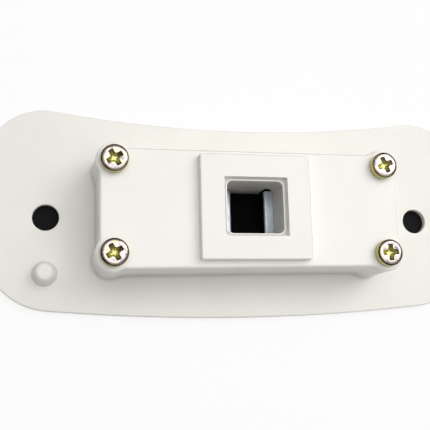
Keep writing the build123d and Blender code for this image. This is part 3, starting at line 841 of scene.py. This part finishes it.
# %% One screw as a single surface
head_radius, head_height, disc_radius = 3.5, 2.5, 2.5
bar_long, bar_wide, bar_end, cross_middle, cross_soft = 2.2, 0.64, 2.21, 1.1, 0.2
recess_depth, arm_slope, star_power, star_start, star_bend = 1.44, 1.1, 0.6, 0.6, 0.22
shoulder_tilts = (4, 8, 13, 19, 25, 30, 33, 35, 50, 72)  # degrees, from the flat top out to the upright side
shoulder_runs = (0.1, 0.1, 0.1, 0.12, 0.14, 0.14, 0.13, 0.13, 0.02, 0.02)
thread_core, thread_crest, thread_pitch, thread_length, screw_length = 1.3, 1.75, 1.27, 10.6, 13.0
crest_steepness, thread_runout, tip_start = 3.2, 1.5, 12.2


def cross_outline(angles, inset=0.0):
    """The drive recess: two crossed bars, whose ends lie on one circle, and a middle disc, softly joined."""
    long, wide = bar_long - inset, bar_wide - inset
    bars = np.minimum(reach(angles, [(long, wide), (wide, long)]), bar_end - inset)
    return softer_maximum(bars, cross_middle - inset, cross_soft)


def recess_level(share, foot):
    """The recess floor at a share of the way out to its foot: a shallow star that bends softly into
    slopes up the arms. The distance that counts is the share times a power of the foot's own distance,
    less the star's start. The floor follows the mean of that distance and its length with the star's bend
    at a right angle to it."""
    beyond = share * foot**star_power - star_start
    return head_height - recess_depth + arm_slope * (beyond + np.hypot(beyond, star_bend)) / 2


def screw_rows(turn):
    """Rows of one screw, turned about its axis: from the bottom of its recess over the head to its tip."""
    angles = shared_angles([cross_outline, circle(1.0)], 160)
    foot = cross_outline(angles, 0.17)
    shares = (0.12, 0.24, 0.34, 0.43, 0.52, 0.61, 0.7, 0.8, 0.9, 1.0)
    rows = [(share * foot, recess_level(share, foot)) for share in shares]
    rows += [(cross_outline(angles, inset), head_height - drop) for inset, drop in ((0.04, 0.3), (0.0, 0.07))]
    rows += [(cross_outline(angles, -0.03), head_height - 0.015), (cross_outline(angles, -0.09), head_height)]
    far, level = disc_radius, head_height
    rows += [(far - 0.1, level), (far, level)]
    for tilt, run in zip(shoulder_tilts, shoulder_runs):
        far, level = far + run, level - run * math.tan(math.radians(tilt))
        rows.append((far, level))
    rows += [(head_radius, 0.2), (head_radius - 0.03, 0.06), (head_radius - 0.12, 0.0), (thread_core, 0.0)]
    depth = np.arange(0.2, thread_length, thread_pitch / 8)
    for level in depth:
        phase = (level / thread_pitch + angles / (2 * np.pi)) % 1
        crest = np.clip(1 - np.abs(phase - 0.5) * crest_steepness, 0, 1)
        crest = crest * min(1, (thread_length - level) / thread_runout)
        rows.append((thread_core + (thread_crest - thread_core) * crest, -level))
    rows += [(thread_core, -thread_length), (thread_core * 0.5, -tip_start), (0.15, -screw_length)]
    east, north = np.cos(angles + turn), np.sin(angles + turn)
    return np.array([np.stack([far * east, far * north, level + 0 * angles], axis=-1) for far, level in rows])


# %% Four screws, each stopped at its own turn
screw_turns = (32.0, 30.0, 22.0, 3.0)
for number, ((x, y), degrees) in enumerate(zip(boss_places, screw_turns), 1):
    rows = screw_rows(math.radians(degrees)) + [x, y, lid_top]
    screw = surface(f"lid_screw_{number}", rows, yellow_zinc, sharp=34.0)
    belongs(screw, "housing", "yellow_zinc_steel", "lid_screws")

# %% [markdown]
# ## Key clips
#
# Each clip is one strip of bright spring steel, bent so that its nose leans into the socket and its shelf
# lies just under the socket's end. Seen from above only the shelf and the bend show, a pale bluish bar on
# each side of the black floor. A strip is a small rounded section carried along a path of straight runs and
# tangent arcs. A curve with a bevel profile could carry it too, but here the strip also gets a little
# narrower at its nose.

# %% Strip carried along a bent path
def bent_path(corners, radius, steps=10):
    """A path of straight runs joined by arcs: at each corner the arc starts and ends at radius times the
    tangent of half the turn from the corner, and its points turn evenly about its middle."""
    corners = np.asarray(corners, float)
    path = [corners[0]]
    for before, corner, after in zip(corners, corners[1:], corners[2:]):
        into, out = corner - before, after - corner
        into, out = into / np.hypot(*into), out / np.hypot(*out)
        angle = math.atan2(into[0] * out[1] - into[1] * out[0], into @ out)
        start = corner - into * radius * math.tan(abs(angle) / 2)
        side = math.copysign(1, angle) * np.array([-into[1], into[0]])
        middle = start + side * radius
        for part in np.linspace(0, angle, steps):
            c, s = math.cos(part), math.sin(part)
            away = start - middle
            path.append(middle + [away[0] * c - away[1] * s, away[0] * s + away[1] * c])
    path.append(corners[-1])
    return np.array(path)


def strip(name, path, half_width, thickness, material, side, edge=0.08):
    """A flat strip along a path in the X-Z plane. Its section is a rounded rectangle: four corner arcs
    whose middles lie half_width out along Y and half the thickness out along the path's own normal, less
    the edge."""
    tangent = np.gradient(path, axis=0)
    tangent /= np.linalg.norm(tangent, axis=1, keepdims=True)
    normal = np.stack([-tangent[:, 1], tangent[:, 0]], axis=-1)
    arcs = np.linspace(0, np.pi / 2, 4)
    turns = np.concatenate([arcs + quarter * np.pi / 2 for quarter in range(4)])
    across, through = np.cos(turns), np.sin(turns)
    corner_y = np.repeat([1, -1, -1, 1], 4)[None, :] * (np.asarray(half_width)[:, None] - edge)
    corner_n = np.repeat([1, 1, -1, -1], 4)[None, :] * (thickness / 2 - edge)
    y = corner_y + across[None, :] * edge
    lift = corner_n + through[None, :] * edge
    x = path[:, 0, None] + normal[:, 0, None] * lift
    z = path[:, 1, None] + normal[:, 1, None] * lift
    rows = np.stack([side * x, y, z], axis=-1)
    return surface(name, rows, material, sharp=40.0)


# %% Both clips
clip_bend_radius, clip_level, clip_web, clip_knee = 0.35, 9.65, 7.1, 7.2
clip_shelf_end, clip_foot = 8.0, 2.62
clip_noses = {"right": 4.9, "left": 4.3}  # sprung by hand, so the two are not quite alike
clip_half, clip_corner_round, clip_thickness = 6.3, 0.5, 0.4


def clip_rows(nose):
    """The strip's path and its half width at each step, for a bend whose outside just reaches the nose."""
    run = clip_web - (nose + clip_thickness / 2 + clip_bend_radius)
    drop = clip_level - clip_knee
    slope = (math.sqrt(run**2 + drop * (drop - 2 * clip_bend_radius)) - run) / drop
    corner = clip_web - run - clip_bend_radius / slope
    corners = [(clip_shelf_end, clip_level), (corner, clip_level)]
    corners += [(clip_web, clip_knee), (clip_web, clip_foot)]
    path = bent_path(corners, clip_bend_radius, 14)
    shelf = np.linspace(corners[0], path[1], 12, endpoint=False)
    path = np.vstack([shelf, path[1:]])
    back = np.clip(path[:, 0] - path[:, 0].min(), 0, clip_corner_round)
    widths = clip_half - clip_corner_round + np.sqrt(clip_corner_round**2 - (clip_corner_round - back) ** 2)
    return path, widths


for side, sign in (("right", 1), ("left", -1)):
    path, widths = clip_rows(clip_noses[side])
    clip = strip(f"{side}_clip_strip", path, widths, clip_thickness, bright_strip, sign)
    belongs(clip, f"{side}_clip", "bright_spring_steel", f"{side}_key_clip")

# %% [markdown]
# ## Cable grommet
#
# The ring that keeps the cable off the edge of its hole is soft rubber, so all its edges are rounded. It
# lies in the floor near the left end of the box and shows only from the back. It is turned from one closed
# profile, and a torus would miss the groove that holds it in the plate.

# %% Grommet turned on a lathe
grommet_profile = [(2.2, 0.3), (2.2, 2.5), (2.28, 2.72), (2.5, 2.8), (3.6, 2.8), (3.86, 2.72), (3.98, 2.5)]
grommet_profile += [(3.98, 2.2), (3.85, 2.03), (2.95, 2.0), (2.95, 0.8), (3.85, 0.77), (3.98, 0.6)]
grommet_profile += [(3.98, 0.25), (3.86, 0.07), (3.6, 0.0), (2.5, 0.0), (2.28, 0.08)]
grommet = turned("grommet_ring", grommet_profile, rubber_black, grommet_place, 72, loop=True, sharp=60.0)
belongs(grommet, "housing", "black_rubber", "cable_grommet")

# %% [markdown]
# ## Table, room and lamps
#
# The switch lies on its back on a plain white table. The light is a large soft window high on the right, a
# pale panel above that the screw heads mirror, and a room that gets darker towards its walls and has one
# darker corner at the lower left. More lamps could make the table white, but they would flatten the switch,
# so the table only looks white to the camera. A black card under the plate is painted shade: it makes the
# plate's two holes as dark as the shade under it.

# %% Table and card
def ray_kinds(tree, *kinds):
    """One where a ray is of any of the named kinds, and zero elsewhere."""
    path = tree.nodes.new("ShaderNodeLightPath")
    either = path.outputs[kinds[0]]
    for kind in kinds[1:]:
        either = combined(tree, "MAXIMUM", either, path.outputs[kind])
    return either


def camera_white(material, share):
    """Mixes in white that only direct and mirrored rays see, so that a surface still shows shadows."""
    tree = material.node_tree
    output = next(node for node in tree.nodes if node.type == "OUTPUT_MATERIAL")
    seen = ray_kinds(tree, "Is Camera Ray", "Is Glossy Ray", "Is Transmission Ray")
    glow, mix = tree.nodes.new("ShaderNodeEmission"), tree.nodes.new("ShaderNodeMixShader")
    tree.links.new(combined(tree, "MULTIPLY", seen, share), mix.inputs[0])
    tree.links.new(principled(material).outputs[0], mix.inputs[1])
    tree.links.new(glow.outputs[0], mix.inputs[2])
    tree.links.new(mix.outputs[0], output.inputs[0])


def flat_sheet(name, half_x, half_y, level, material):
    """A flat rectangle that is part of the stage."""
    mesh = bpy.data.meshes.new(name)
    signs = ((-1, -1), (1, -1), (1, 1), (-1, 1))
    corners = [(i * half_x, j * half_y, level) for i, j in signs]
    mesh.from_pydata((np.array(corners) * MM).tolist(), [], [(0, 1, 2, 3)])
    mesh.materials.append(material)
    sheet = bpy.data.objects.new(name, mesh)
    scene.collection.objects.link(sheet)
    return sheet


table_white, _, table_shader = new_material("table_white")
table_shader.inputs["Base Color"].default_value = (0.93, 0.93, 0.93, 1)
table_shader.inputs["Roughness"].default_value = 0.9
camera_white(table_white, 0.8)
# the black card is painted shade: a dark sheet under the holes, where there is only shade
shade_card_black, _, shade_card_shader = new_material("shade_card_black")
shade_card_shader.inputs["Base Color"].default_value = linear(12, 12, 13)
shade_card_shader.inputs["Specular IOR Level"].default_value = 0.2
shade_card_shader.inputs["Roughness"].default_value = 0.8
flat_sheet("table", half_x=1500, half_y=1500, level=-0.1, material=table_white)
flat_sheet("card", half_x=60, half_y=20, level=-0.05, material=shade_card_black)
print("table and card lie 0.1 and 0.05 mm below the plate")

# %% Room
world = bpy.data.worlds.new("pale_room")
scene.world = world
world.use_nodes = True
room = world.node_tree
background = room.nodes["Background"]
background.inputs["Color"].default_value = (1.0, 1.0, 1.0, 1)
direction = room.nodes.new("ShaderNodeTexCoord")


def towards(axis):
    """How far a direction of the room agrees with an axis: one along it, nothing square to it."""
    node = room.nodes.new("ShaderNodeVectorMath")
    node.operation = "DOT_PRODUCT"
    node.inputs[1].default_value = Vector(axis).normalized()
    room.links.new(direction.outputs["Generated"], node.inputs[0])
    return node.outputs["Value"]


bright_cap = spread(room, towards((0.08, 0.04, 0.99)), 0.10, 0.86, 0.3, 0.9)
dark_corner = spread(room, towards((-0.60, -0.60, 0.53)), 1.0, 0.25, 0.86, 0.94)
room.links.new(combined(room, "MULTIPLY", bright_cap, dark_corner), background.inputs["Strength"])

# the camera sees the room white, and so does anything seen through glass
pale = room.nodes.new("ShaderNodeBackground")
pale.inputs["Color"].default_value = (1.0, 1.0, 1.0, 1)
shown = room.nodes.new("ShaderNodeMixShader")
room.links.new(ray_kinds(room, "Is Camera Ray", "Is Transmission Ray"), shown.inputs[0])
room.links.new(background.outputs[0], shown.inputs[1])
room.links.new(pale.outputs[0], shown.inputs[2])
room.links.new(shown.outputs[0], room.nodes["World Output"].inputs["Surface"])
print("room:", len(room.nodes), "shader nodes")


# %% Lamps
def soft_lamp(name, place, size, power, tint=(1, 1, 1)):
    """A square area lamp that faces the middle of the switch."""
    data = bpy.data.lights.new(name, "AREA")
    data.shape = "SQUARE"
    data.size = size
    data.energy = power
    data.color = tint
    lamp = bpy.data.objects.new(name, data)
    lamp.location = place
    lamp.rotation_euler = (-Vector(place)).to_track_quat("-Z", "Y").to_euler()
    scene.collection.objects.link(lamp)
    return lamp


soft_lamp("window", place=(0.50, 0.31, 0.57), size=0.52, power=2.30, tint=(1.0, 0.99, 0.968))
soft_lamp("panel", place=(0.03, 0.10, 0.60), size=0.50, power=0.98, tint=(1.0, 0.99, 0.975))
print("lamps:", [(lamp.name, round(lamp.energy, 2)) for lamp in bpy.data.lights])
